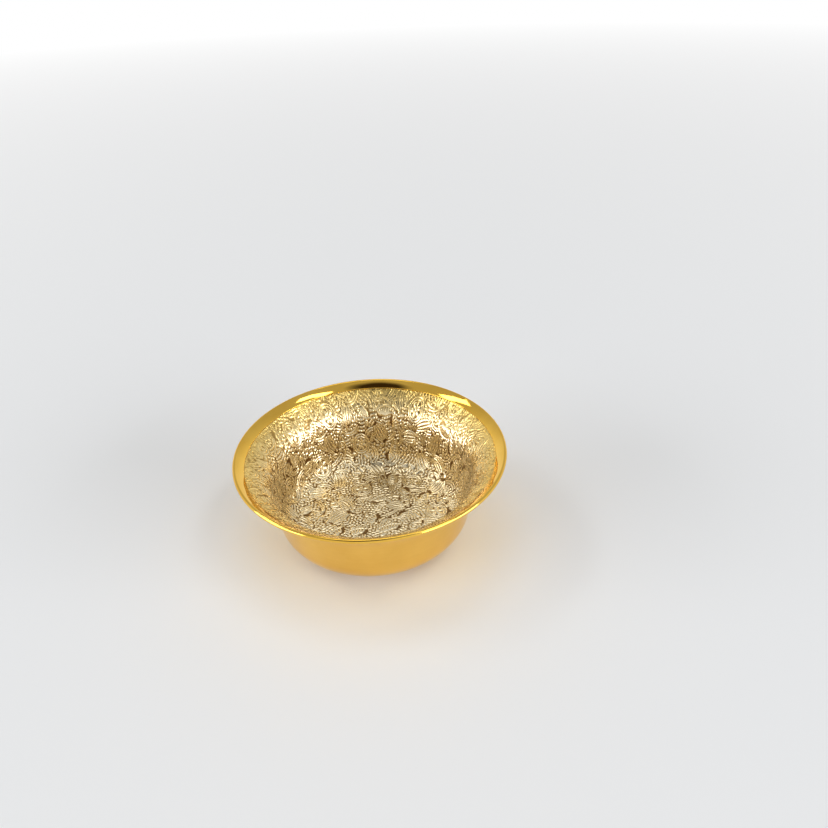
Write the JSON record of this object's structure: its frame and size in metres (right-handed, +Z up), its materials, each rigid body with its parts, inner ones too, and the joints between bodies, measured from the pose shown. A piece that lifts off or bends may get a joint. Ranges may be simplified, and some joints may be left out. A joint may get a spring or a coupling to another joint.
{
  "type": "brass bowl",
  "caption": "Round flared bowl of gold-coloured brass with a smooth outside, a chased foliate lining, a polished rim band and a low foot ring.",
  "frame": {"origin": "on the surface that the bowl stands on, in the middle of the foot ring", "axes": "+Z up along the bowl's axis of symmetry, towards the rim"},
  "size_m": [0.115, 0.115, 0.043],
  "materials": {
    "shell_gold": "mirror polished gold plate",
    "lining_gold": "chased relief in pale gold plate, darker in its recesses",
    "band_gold": "mirror polished gold plate",
    "foot_gold": "polished gold plate, worn on its resting face"
  },
  "bodies": {
    "root": {"outer_shell": "shell_gold", "embossed_lining": "lining_gold", "rim_band": "band_gold", "foot_ring": "foot_gold"}
  },
  "joints": []
}
